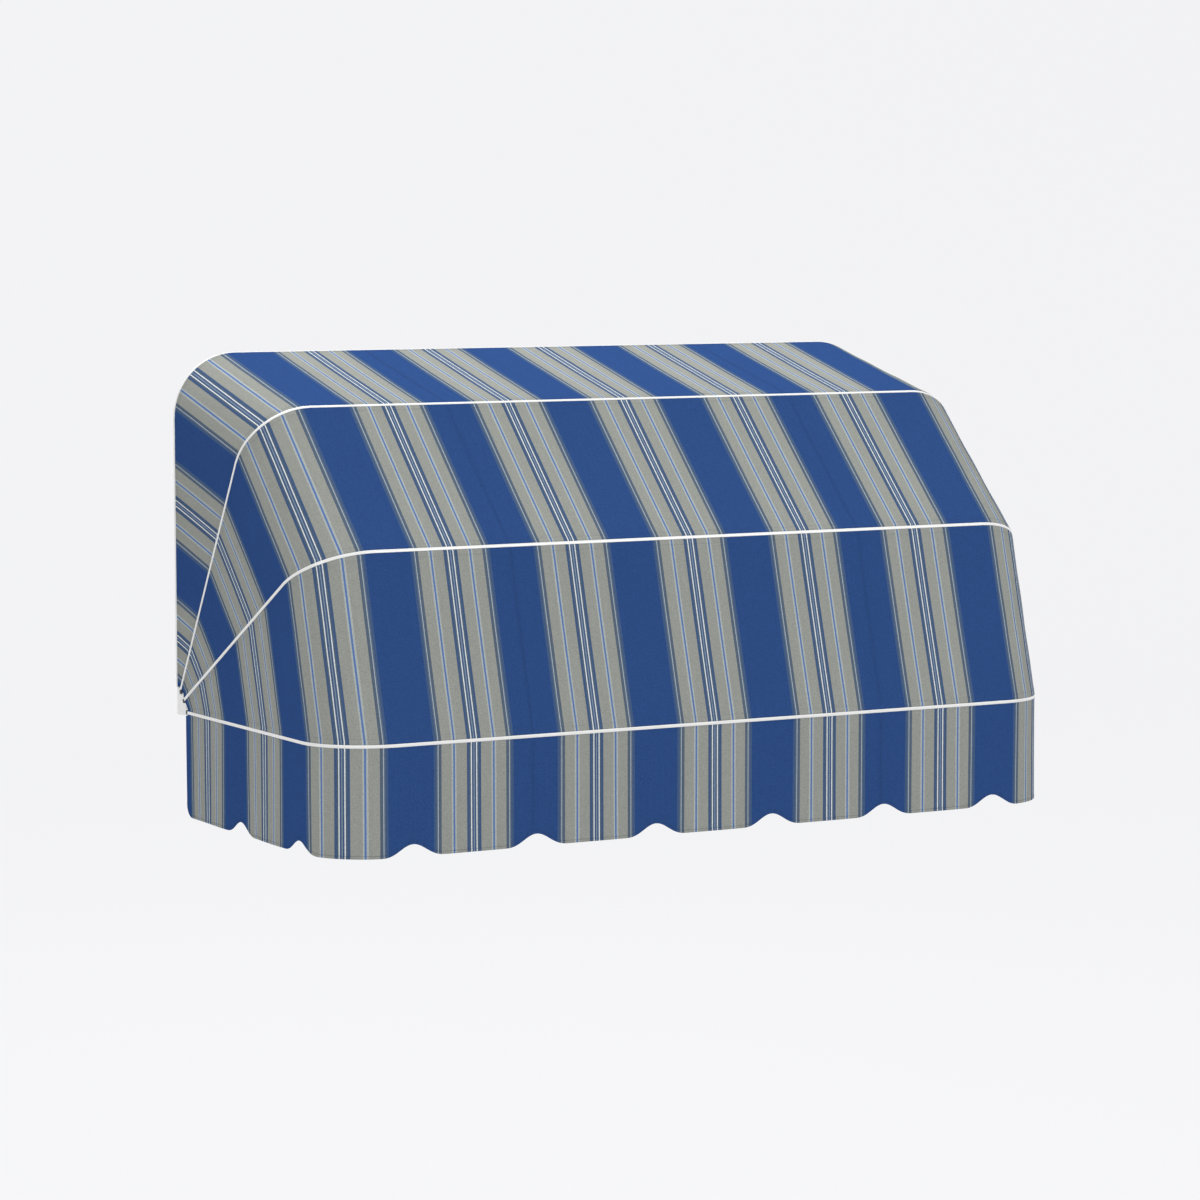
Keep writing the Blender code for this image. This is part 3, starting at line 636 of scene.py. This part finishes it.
class Panel:
    """The cloth between two hoops.

    Across the gap a point runs on the straight line between the two hoops, drawn inwards by a small share of
    the span times 4t(1 - t), with small tension ripples that fade towards both edges."""

    def __init__(self, name, high, low, seed):
        self.name = name
        self.high = high
        self.low = low
        self.seed = seed

    def columns(self, steps=(72, 22, 58)):
        return self.high.spread(*steps, PANEL_MARGIN), self.low.spread(*steps, PANEL_MARGIN)

    def outward(self, s_high, s_low):
        """Unit vector out of the cloth: the mean of both hoops' own."""
        out = self.high.outward(s_high) + self.low.outward(s_low)
        return out / np.linalg.norm(out, axis=-1, keepdims=True)

    def surface(self, s_high, s_low, t):
        """Points for distances along both hoops and for t, from 0 at the high one to 1 at the low one."""
        first = self.high.at(s_high, *edge_path(-1)[-1])
        last = self.low.at(s_low, *edge_path(1)[-1])
        inward = -self.outward(s_high, s_low)
        span = np.linalg.norm(last - first, axis=-1, keepdims=True)
        t = np.asarray(t, float)[..., None]
        middle = 4 * t * (1 - t)
        s = (s_high + s_low)[..., None] / 2
        wave = ripple(s, t * span, self.seed) * RIPPLE * middle
        near = np.minimum(t, 1 - t)
        head, tail, whole = (np.exp(-reach * span / PUCKER_FADE) for reach in (t, 1 - t, 1))
        turn = 2 * math.pi * s / PUCKER_LENGTH + 2.5 * np.sin(s * 5.1 + self.seed)
        pucker = PUCKER * (head + tail - whole) * np.sin(turn)
        pucker = pucker * near * span / (0.006 + near * span)
        bend = np.exp(-(((np.abs(s) - (self.low.flat + self.low.turn) / 2) / 0.20) ** 2))
        turn = 2 * math.pi * (np.abs(s) + t * span * 0.55) / BEND_FOLD_LENGTH
        fold = BEND_FOLD * bend * middle * np.sin(turn)
        depth = PANEL_SAG * span * middle + wave + pucker + fold
        return first + (last - first) * t + inward * depth

    def build(self):
        """The whole sheet, with its edges in both hoops' grooves, and its area."""
        s_high, s_low = self.columns()
        head = edge_path(-1)[:-1]
        tail = edge_path(1)[:-1][::-1]
        t = np.concatenate([[0.0, 0.012, 0.03], np.linspace(0.055, 0.945, 32), [0.97, 0.988, 1.0]])
        body = self.surface(s_high[None, :], s_low[None, :], np.repeat(t[:, None], len(s_high), axis=1))
        first = [self.high.at(s_high, b, n)[None] for b, n in head]
        last = [self.low.at(s_low, b, n)[None] for b, n in tail]
        points = np.concatenate([*first, body, *last])
        share = np.concatenate([np.zeros(len(head)), t, np.ones(len(tail))])
        u = self.pattern(s_high[None], s_low[None], share[:, None])
        down = np.linalg.norm(np.diff(points, axis=0), axis=-1)
        v = np.concatenate([np.zeros((1, len(s_high))), np.cumsum(down, axis=0)])
        return cloth_piece(self.name, self.low, points, u, v), cloth_area(points)

    def pattern(self, s_high, s_low, t):
        """Coordinate across the stripes, shared out between the two hoops' own."""
        return self.high.pattern(s_high) * (1 - t) + self.low.pattern(s_low) * t


def cloth_area(points):
    """Area of a grid of points, from its quads' diagonals."""
    first = points[1:, 1:] - points[:-1, :-1]
    second = points[1:, :-1] - points[:-1, 1:]
    return float(np.linalg.norm(np.cross(first, second), axis=-1).sum() / 2)


def cloth_piece(name, hoop, points, u, v, turned=True):
    """Canvas on a grid of points, with its coordinates u and v; turned faces look the other way."""
    faces = grid_faces(*points.shape[:2])
    if turned:
        faces = faces[:, ::-1]
    obj = new_piece(name, points, faces, np.stack(np.broadcast_arrays(u, v), axis=-1), 60)
    dress(obj, material("canvas"), hoop.body)
    return obj


def thicken(obj):
    modifier = obj.modifiers.new("Thickness", "SOLIDIFY")
    modifier.thickness = sizes().cloth_thickness
    modifier.offset = 0.0


def follow(obj):
    """Gives a cloth piece its own copy of its mesh."""
    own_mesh(obj)


def follow_valance(obj):
    """Gives a valance piece its own copy of its mesh."""
    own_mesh(obj)


def seam_places():
    """Name and distance along the bows of the two sewn seams, each near the middle of a blue stripe."""
    return ("left", sizes().left_seam), ("right", sizes().right_seam)


def stitch_row(name, hoop, points, outward, kind):
    """Stitches along a path: each is a five-sided spindle, bent so that both ends dip into the cloth.

    The path is walked at even steps of pitch; a stitch point is centre + tangent * x + outward * y, where
    the spindle's axis height falls off with the square of x."""
    length, radius, thread = STITCHES[kind]
    pitch = SEAM_PITCH if "seam" in kind else sizes().stitch_pitch
    gaps = np.linalg.norm(np.diff(points, axis=0), axis=1)
    along = np.concatenate([[0], np.cumsum(gaps)])
    spots = np.arange(pitch / 2, along[-1] - pitch / 2, pitch)

    def sample(values, where):
        return np.stack([np.interp(where, along, values[:, k]) for k in range(3)], axis=1)

    centre = sample(points, spots)
    tangent = sample(points, spots + length / 4) - sample(points, spots - length / 4)
    tangent /= np.linalg.norm(tangent, axis=1, keepdims=True)
    up = sample(outward, spots)
    up -= tangent * np.sum(up * tangent, axis=1, keepdims=True)
    up /= np.linalg.norm(up, axis=1, keepdims=True)
    side = np.cross(tangent, up)
    x = np.array([-0.5, -0.36, 0.0, 0.36, 0.5]) * length
    girth = np.array([0.35, 0.9, 1.0, 0.9, 0.35]) * radius
    rise = radius * (0.85 - 2.6 * (x / length) ** 2 * 2)
    turn = 2 * math.pi * np.arange(5) / 5
    offset_up = rise[:, None] + girth[:, None] * np.cos(turn)[None]
    offset_side = girth[:, None] * np.sin(turn)[None]
    points = (
        centre[:, None, None]
        + tangent[:, None, None] * x[None, :, None, None]
        + up[:, None, None] * offset_up[None, :, :, None]
        + side[:, None, None] * offset_side[None, :, :, None]
    )
    walls = grid_faces(5, 5, wrap=True)
    starts = (np.arange(len(spots)) * 25)[:, None, None]
    faces = (walls[None] + starts).reshape(-1, 4).tolist()
    caps = np.array([np.arange(5)[::-1], np.arange(20, 25)])
    faces += (caps[None] + starts).reshape(-1, 5).tolist()
    obj = new_piece(name, points, faces)
    turn_outwards(obj)
    obj.data.shade_smooth()
    dress(obj, material(thread), hoop.body)
    return obj


class AWNING_OT_bows(bpy.types.Operator):
    """Bend the four aluminium bows from their extruded section."""

    bl_idname = "awning.bows"
    bl_label = "Bows"

    def execute(self, context):
        section = bow_section()
        for key in HOOPS:
            hoop = Hoop(key)
            s = hoop.spread(6, 36, 8)
            obj = carried_profile(key + "_bow_profile", hoop, s, section)
            dress(obj, material("white_powder_coat"), hoop.body)
            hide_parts(key + "_bow")
        return {"FINISHED"}


class AWNING_OT_edging_cords(bpy.types.Operator):
    """Lay the edging cords in the grooves that hold cloth."""

    bl_idname = "awning.edging_cords"
    bl_label = "Edging cords"

    def execute(self, context):
        used = (
            ("wall_bow_cord", "wall", -1),
            ("upper_bow_top_cord", "upper", 1),
            ("upper_bow_low_cord", "upper", -1),
            ("middle_bow_top_cord", "middle", 1),
            ("middle_bow_low_cord", "middle", -1),
            ("front_bow_top_cord", "front", 1),
            ("valance_cord", "front", -1),
        )
        turn = 2 * math.pi * np.arange(12) / 12
        for node, key, side in used:
            hoop = Hoop(key)
            ring = [side * GROOVE_B + CORD_R * np.cos(turn), GROOVE_N + CORD_R * np.sin(turn)]
            ring = np.stack(ring, axis=1)
            obj = carried_profile(node + "_round", hoop, hoop.spread(4, 30, 4, 0.002), ring)
            dress(obj, material("edging_cord"), hoop.body)
            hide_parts(node)
        return {"FINISHED"}


def panels():
    """The three panels: name, high hoop, low hoop and the seed of its ripples."""
    hoops = [Hoop(key) for key in HOOPS]
    names = ("top_cloth", "middle_cloth", "front_cloth")
    return [Panel(*details) for details in zip(names, hoops, hoops[1:], (11, 23, 37))]


class AWNING_OT_cloth_panels(bpy.types.Operator):
    """Stretch the three striped panels between the bows."""

    bl_idname = "awning.cloth_panels"
    bl_label = "Cloth panels"

    def execute(self, context):
        for panel in panels():
            obj, area = panel.build()
            thicken(obj)
            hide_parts(panel.name.replace("_cloth", "_panel"))
            length = 2 * (panel.low.whole - panel.low.start)
            follow(obj)
        return {"FINISHED"}


class AWNING_OT_seams(bpy.types.Operator):
    """Sew the lapped seams of the panels: a raised strip with two rows of stitches."""

    bl_idname = "awning.seams"
    bl_label = "Seams"

    def execute(self, context):
        t = np.linspace(0.001, 0.999, 60)
        for panel in panels():
            for label, seam in seam_places():
                name = panel.name + "_seam_" + label
                hoop = panel.low
                s, down = np.broadcast_arrays((seam + SEAM_ACROSS * SEAM_HALF)[None], t[:, None])
                points = panel.surface(s, s, down) + panel.outward(s, s) * SEAM_LIFT[None, :, None]
                follow(cloth_piece(name, hoop, points, panel.pattern(s, s, down), down * 0.56))
                for k, step in enumerate(SEAM_ROWS):
                    line = np.full_like(t, seam + step)
                    out = panel.outward(line, line)
                    path = panel.surface(line, line, t) + out * 0.0009
                    follow(stitch_row(name + f"_stitches_{k + 1}", hoop, path, out, "seam"))
        return {"FINISHED"}


class AWNING_OT_edge_stitches(bpy.types.Operator):
    """Sew the row of stitches that closes each cord pocket, beside every bow."""

    bl_idname = "awning.edge_stitches"
    bl_label = "Edge stitches"

    def execute(self, context):
        for panel in panels():
            s_high, s_low = panel.columns((160, 40, 120))
            span = np.linalg.norm(panel.high.at(s_high, 0, 0) - panel.low.at(s_low, 0, 0), axis=1)
            keep = span > 0.05
            near = np.minimum(EDGE_ROW / span, 0.45)
            for label, t in (("top", near), ("low", 1 - near)):
                out = panel.outward(s_high, s_low)[keep]
                path = panel.surface(s_high, s_low, t)[keep] + out * 0.0005
                name = panel.name + "_" + label + "_stitches"
                follow(stitch_row(name, panel.low, path, out, "edge"))
        return {"FINISHED"}


def scallop(s):
    """Rise of the hem: raised cosine bells to the power 3/2, half a pitch and whole pitches from the middle.

    Past the bend their places spread by SCALLOP_SPREAD for each metre."""
    size = sizes()
    place = size.scallop_pitch * (np.arange(5) + 0.5)
    place = place + SCALLOP_SPREAD * np.maximum(place - SCALLOP_SPREAD_START, 0)
    near = np.abs(np.abs(s)[..., None] - place).min(axis=-1)
    bell = 0.5 * (1 + np.cos(math.pi * np.minimum(near / size.scallop_half, 1.0)))
    return size.scallop_rise * bell**1.5


class Valance:
    """The curtain that hangs straight down from the front bow's groove, with waves that grow downwards."""

    def __init__(self):
        self.hoop = Hoop("front")
        self.end = self.hoop.whole - sizes().valance_back

    def columns(self):
        """Even steps along the bow, crowded over the last stretch where the corner is rounded."""
        even = np.linspace(-1, 1, 560) * (self.end - CORNER_R - 0.002)
        corner = self.end - (CORNER_R + 0.002) * (1 - np.linspace(0.05, 1.0, 16)) ** 1.6
        corner[-1] = self.end
        return np.concatenate([-corner[::-1], even, corner])

    def hem_height(self, s):
        """Height of the bottom edge: scallops, and a quarter circle at each back end."""
        short = np.clip(CORNER_R - (self.end - np.abs(s)), 0, CORNER_R)
        rounded = CORNER_R - np.sqrt(np.maximum(CORNER_R**2 - short**2, 0))
        return self.hoop.at(s, 0.0, 0.0)[..., 2] - sizes().valance_drop + np.maximum(scallop(s), rounded)

    def edge(self, s, b, n):
        """A row of the top edge; past the arm's end it dips below the front hinge's bolt."""
        points = self.hoop.at(s, b, n)
        past = np.clip((np.abs(s) - (self.hoop.whole - self.hoop.start)) / 0.004, 0, 1)
        free = HINGES["front_hinge"]["pos_m"][2] - BOLT_CLEARANCE + b / 6
        points[..., 2] += past * np.minimum(free - points[..., 2], 0)
        return points

    def top(self, s):
        return self.edge(s, *edge_path(-1)[-1])

    def surface(self, s, z, lift=0.0):
        """Points at distance s and height z: the groove's line dropped down and moved outwards by waves."""
        start = self.top(s)
        out = self.hoop.outward(s)
        out[..., 2] = 0
        out /= np.linalg.norm(out, axis=-1, keepdims=True)
        fall = np.clip((start[..., 2] - z) / sizes().valance_drop, 0, 1)
        wave = 0.55 * np.sin(2 * math.pi * s / VALANCE_WAVE_LENGTH + 1.1) + 0.45 * ripple(s, z * 0.2, 5)
        push = VALANCE_WAVE * fall**1.6 * wave + lift
        points = start + out * push[..., None]
        points[..., 2] = z
        return points


class AWNING_OT_valance(bpy.types.Operator):
    """Hang the scalloped valance with its turned hem."""

    bl_idname = "awning.valance"
    bl_label = "Valance"

    def execute(self, context):
        valance = Valance()
        hoop = valance.hoop
        s = valance.columns()
        low = valance.hem_height(s)
        head = np.stack([valance.edge(s, b, n) for b, n in edge_path(-1)])
        begin = head[-1, :, 2] - 0.0025
        share = np.linspace(0, 1, 30)[:, None]
        body = valance.surface(np.repeat(s[None], len(share), axis=0), begin * (1 - share) + low * share)
        points = np.concatenate([head, body])
        u = hoop.pattern(s, "valance")
        obj = cloth_piece("valance_cloth", hoop, points, u, head[0, :, 2] - points[..., 2])
        thicken(obj)
        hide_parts("valance")
        2 * valance.end
        follow_valance(obj)
        levels = np.array([0.0, 0.0006, HEM_WIDTH / 2, HEM_WIDTH - 0.0006, HEM_WIDTH])
        lift = np.array([0.0002, 0.0007, 0.0008, 0.0007, 0.0002])
        grid, z = np.broadcast_arrays(s[None], low[None] + levels[:, None] - 0.0002)
        for name, side in (("valance_hem_front", 1), ("valance_hem_back", -1)):
            strip = valance.surface(grid, z, lift[:, None] * side)
            follow_valance(cloth_piece(name, hoop, strip, u, begin - z + 0.004, side < 0))
        inner = np.linspace(-valance.end + 0.004, valance.end - 0.004, 2600)
        for label, side in (("outer", 1), ("inner", -1)):
            path = valance.surface(inner, valance.hem_height(inner) + HEM_ROW, 0.0008 * side)
            out = hoop.outward(inner) * side
            follow_valance(stitch_row("valance_hem_stitches_" + label, hoop, path, out, "hem"))
        self.sew_seams(valance)
        return {"FINISHED"}

    def sew_seams(self, valance):
        """Lapped seams in line with the panels' own."""
        hoop = valance.hoop
        share = np.linspace(0.01, 0.992, 50)[:, None]
        for label, seam in seam_places():
            name = "valance_seam_" + label
            s = np.repeat((seam + SEAM_ACROSS * SEAM_HALF)[None], len(share), axis=0)
            z = (valance.top(s)[..., 2] - 0.003) * (1 - share) + valance.hem_height(s) * share
            points = valance.surface(s, z, SEAM_LIFT[None])
            follow_valance(cloth_piece(name, hoop, points, hoop.pattern(s, "valance"), -z))
            for k, step in enumerate(SEAM_ROWS):
                line = np.full(80, seam + step)
                z = np.linspace(valance.top(line)[0, 2] - 0.006, valance.hem_height(line)[0] + 0.003, 80)
                path = valance.surface(line, z, 0.0010)
                row = stitch_row(name + f"_stitches_{k + 1}", hoop, path, hoop.outward(line), "valance_seam")
                follow_valance(row)


def softened(node, width, steps):
    """A copy of a CAD node with its corners merged and its edges rounded by a bevel."""
    mesh = frame["nodes"][node].data.copy()
    mesh.name = node + "_rounded"
    shape = bmesh.new()
    shape.from_mesh(mesh)
    bmesh.ops.remove_doubles(shape, verts=shape.verts, dist=1e-6)
    bmesh.ops.dissolve_limit(shape, angle_limit=0.01, verts=shape.verts, edges=shape.edges)
    shape.to_mesh(mesh)
    shape.free()
    obj = new_object(node + "_rounded", mesh)
    modifier = obj.modifiers.new("Rounding", "BEVEL")
    modifier.width = width
    modifier.segments = steps
    modifier.limit_method = "ANGLE"
    modifier.angle_limit = math.radians(32)
    shade_round(mesh, 32)
    return obj


# Small parts: words in a node's name, the rounding's width and steps, finish and slot. The first fit holds.
SMALL_PARTS = (
    (("_bolt_", "_nut_", "bracket_screw"), 0.0005, 2, "black_zinc", "fixings"),
    (("screw", "rivet"), 0.0005, 2, "stainless_steel", "fixings"),
    (("clip_",), 0.0005, 2, "mill_aluminium", "clip"),
    (("bracket_",), 0.0012, 3, "bracket_powder_coat", "bracket"),
    (("_lug_",), 0.0008, 2, "bracket_powder_coat", "bracket"),
)


def finish_small_parts(slots):
    """Rounds and finishes the small parts that take one of the slots."""
    for node, body in sorted((n, o["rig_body"]) for n, o in frame["nodes"].items()):
        rows = [row[1:] for row in SMALL_PARTS if any(word in node for word in row[0])]
        if not rows or rows[0][3] not in slots:
            continue
        width, steps, finish, slot = rows[0]
        obj = softened(node, width, steps)
        dress(obj, material(finish), body)
        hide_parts(node)
    return {"FINISHED"}


class AWNING_OT_brackets(bpy.types.Operator):
    """Finish the wall brackets, and the lugs that swing on them."""

    bl_idname = "awning.brackets"
    bl_label = "Brackets and lugs"

    def execute(self, context):
        return finish_small_parts(("bracket",))


class AWNING_OT_fixings(bpy.types.Operator):
    """Finish the clips, bolts, nuts, screws and rivets."""

    bl_idname = "awning.fixings"
    bl_label = "Clips and fixings"

    def execute(self, context):
        return finish_small_parts(("clip", "fixings"))


# Camera: its place in widths of the bows from the middle of the pivot line, its turn and tilt in degrees,
# and its lens in millimetres.
CAMERA_PLACE = (-2.2786, -4.3876, 0.6072)
CAMERA_TURN = -28.412
CAMERA_TILT = -5.721
CAMERA_LENS = 115.47

# Floor and backdrop: height, bend, the backdrop's place and top, the reach to the front and sides, and the
# shares of their colour in the glow, on the matt side and in the world.
FLOOR = -3.2
SWEEP_R = 5.0
SWEEP_BACK = 18.0
SWEEP_TOP = 26.0
SWEEP_REACH = 60.0
GLOW_SHARE = 0.92
MATT_SHARE = 0.75
WORLD_SHARE = 0.957


def background_share(shade):
    """1 on rays from the camera, off gloss and through glass, and 0 on all others."""
    path = shade.node("ShaderNodeLightPath")
    names = ("Is Camera Ray", "Is Glossy Ray", "Is Transmission Ray")
    seen, glossy, through = (Value(shade, path.outputs[name]) for name in names)
    return (seen + glossy + through).clamped()


def studio_material(name, colour):
    """A pale surface that the camera sees at its own colour, apart from a matt share that keeps shadows.

    Its underside is clear, so that the awning shows from below."""
    shade = Shade.named(name)
    behind = shade.node("ShaderNodeNewGeometry").outputs["Backfacing"]
    clear = shade.node("ShaderNodeBsdfTransparent")
    share = background_share(shade) * GLOW_SHARE
    matt = shade.node("ShaderNodeBsdfDiffuse", {}, {"Color": tuple(MATT_SHARE * c for c in colour)})
    glow = shade.node("ShaderNodeEmission", {}, {"Color": colour, "Strength": 1.0})
    front = shade.node("ShaderNodeMixShader", {}, {0: share, 1: matt.outputs[0], 2: glow.outputs[0]})
    mixed = shade.node("ShaderNodeMixShader", {}, {0: behind, 1: front.outputs[0], 2: clear.outputs[0]})
    shade.node("ShaderNodeOutputMaterial", {}, {"Surface": mixed.outputs[0]})
    return shade.owner


class AWNING_OT_studio(bpy.types.Operator):
    """Set the camera, the pale floor and backdrop, the lamps and the world."""

    bl_idname = "awning.studio"
    bl_label = "Studio"

    def execute(self, context):
        self.set_camera(context.scene)
        self.set_sweep()
        self.set_lamps()
        self.set_world(context.scene)
        context.scene.view_settings.view_transform = "Standard"
        return {"FINISHED"}

    def set_camera(self, scene):
        """A long lens from the left and a little above."""
        size = sizes()
        camera = bpy.data.cameras.new("Camera")
        camera.lens = CAMERA_LENS
        camera.clip_end = 200.0
        obj = new_object("Camera", camera)
        obj.location = Vector(CAMERA_PLACE) * size.width + Vector((0, 0, size.axis_height))
        obj.rotation_euler = (math.radians(90 + CAMERA_TILT), 0.0, math.radians(CAMERA_TURN))
        scene.camera = obj

    def set_sweep(self):
        """Floor and backdrop in one sheet: flat, then a quarter circle, then upright."""
        turn = np.linspace(0, math.pi / 2, 24)
        bend = SWEEP_BACK - SWEEP_R + SWEEP_R * np.sin(turn)
        y = np.concatenate([[-SWEEP_REACH], bend, [SWEEP_BACK]])
        z = np.concatenate([[FLOOR], FLOOR + SWEEP_R - SWEEP_R * np.cos(turn), [SWEEP_TOP]])
        x = np.linspace(-SWEEP_REACH, SWEEP_REACH, 12)
        points = np.stack(np.broadcast_arrays(x[None], y[:, None], z[:, None]), axis=-1)
        obj = new_piece("studio_sweep", points, grid_faces(len(y), len(x)), smooth_angle=60)
        obj.data.materials.append(studio_material("studio_white", tuple(colours().backdrop)))

    def set_lamps(self):
        power = bpy.context.scene.awning_light
        lamps = (
            ("Key", power.key, (3.6, -7.5, 4.6), 4.5),
            ("Fill", power.fill, (-7.5, -4.0, 1.2), 4.0),
            ("Top", power.top, (-0.5, 3.6, 5.4), 5.0),
        )
        aim = Vector((0.0, -0.6, -0.6))
        for name, watts, place, width in lamps:
            lamp = bpy.data.lights.new(name, "AREA")
            lamp.energy = watts
            lamp.size = width
            obj = new_object(name, lamp)
            obj.location = place
            obj.rotation_euler = (aim - Vector(place)).to_track_quat("-Z", "Y").to_euler()

    def set_world(self, scene):
        """Even light from all round, which the camera and gloss see at the floor's own colour."""
        scene.world = bpy.data.worlds.new("Studio")
        shade = Shade(scene.world)
        light = (scene.awning_light.world,) * 3
        seen = tuple(WORLD_SHARE * c for c in colours().backdrop)
        colour = shade.mixed(background_share(shade), light, seen)
        background = shade.node("ShaderNodeBackground", {}, {"Color": colour, "Strength": 1.0})
        shade.node("ShaderNodeOutputWorld", {}, {"Surface": background.outputs[0]})


PIECE_OPERATORS = (
    AWNING_OT_bows,
    AWNING_OT_edging_cords,
    AWNING_OT_cloth_panels,
    AWNING_OT_seams,
    AWNING_OT_edge_stitches,
    AWNING_OT_valance,
    AWNING_OT_brackets,
    AWNING_OT_fixings,
    AWNING_OT_studio,
)


class AWNING_PT_panel(bpy.types.Panel):
    """Lists the awning's pieces and settings."""

    bl_idname = "AWNING_PT_panel"
    bl_label = "Window awning"
    bl_space_type = "VIEW_3D"
    bl_region_type = "UI"
    bl_category = "Awning"

    def draw(self, context):
        for operator in PIECE_OPERATORS:
            self.layout.operator(operator.bl_idname)
        for key in GROUPS:
            group = getattr(context.scene, key)
            box = self.layout.box()
            for name in group.bl_rna.properties.keys():
                if name not in ("rna_type", "name"):
                    box.prop(group, name)


GROUPS = {"awning_sizes": AwningSizes, "awning_colours": AwningColours, "awning_light": AwningLight}
CLASSES = (*GROUPS.values(), *PIECE_OPERATORS, AWNING_PT_panel)


def register():
    for cls in CLASSES:
        bpy.utils.register_class(cls)
    for key, group in GROUPS.items():
        setattr(bpy.types.Scene, key, bpy.props.PointerProperty(type=group))


def unregister():
    for key in GROUPS:
        delattr(bpy.types.Scene, key)
    for cls in reversed(CLASSES):
        bpy.utils.unregister_class(cls)


def main():
    """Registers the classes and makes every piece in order."""
    register()
    for operator in PIECE_OPERATORS:
        group, name = operator.bl_idname.split(".")
        result = getattr(getattr(bpy.ops, group), name)()
        if "FINISHED" not in result:
            raise RuntimeError(operator.bl_idname + " did not finish")
    bpy.context.view_layer.update()


if __name__ == "__main__":
    main()
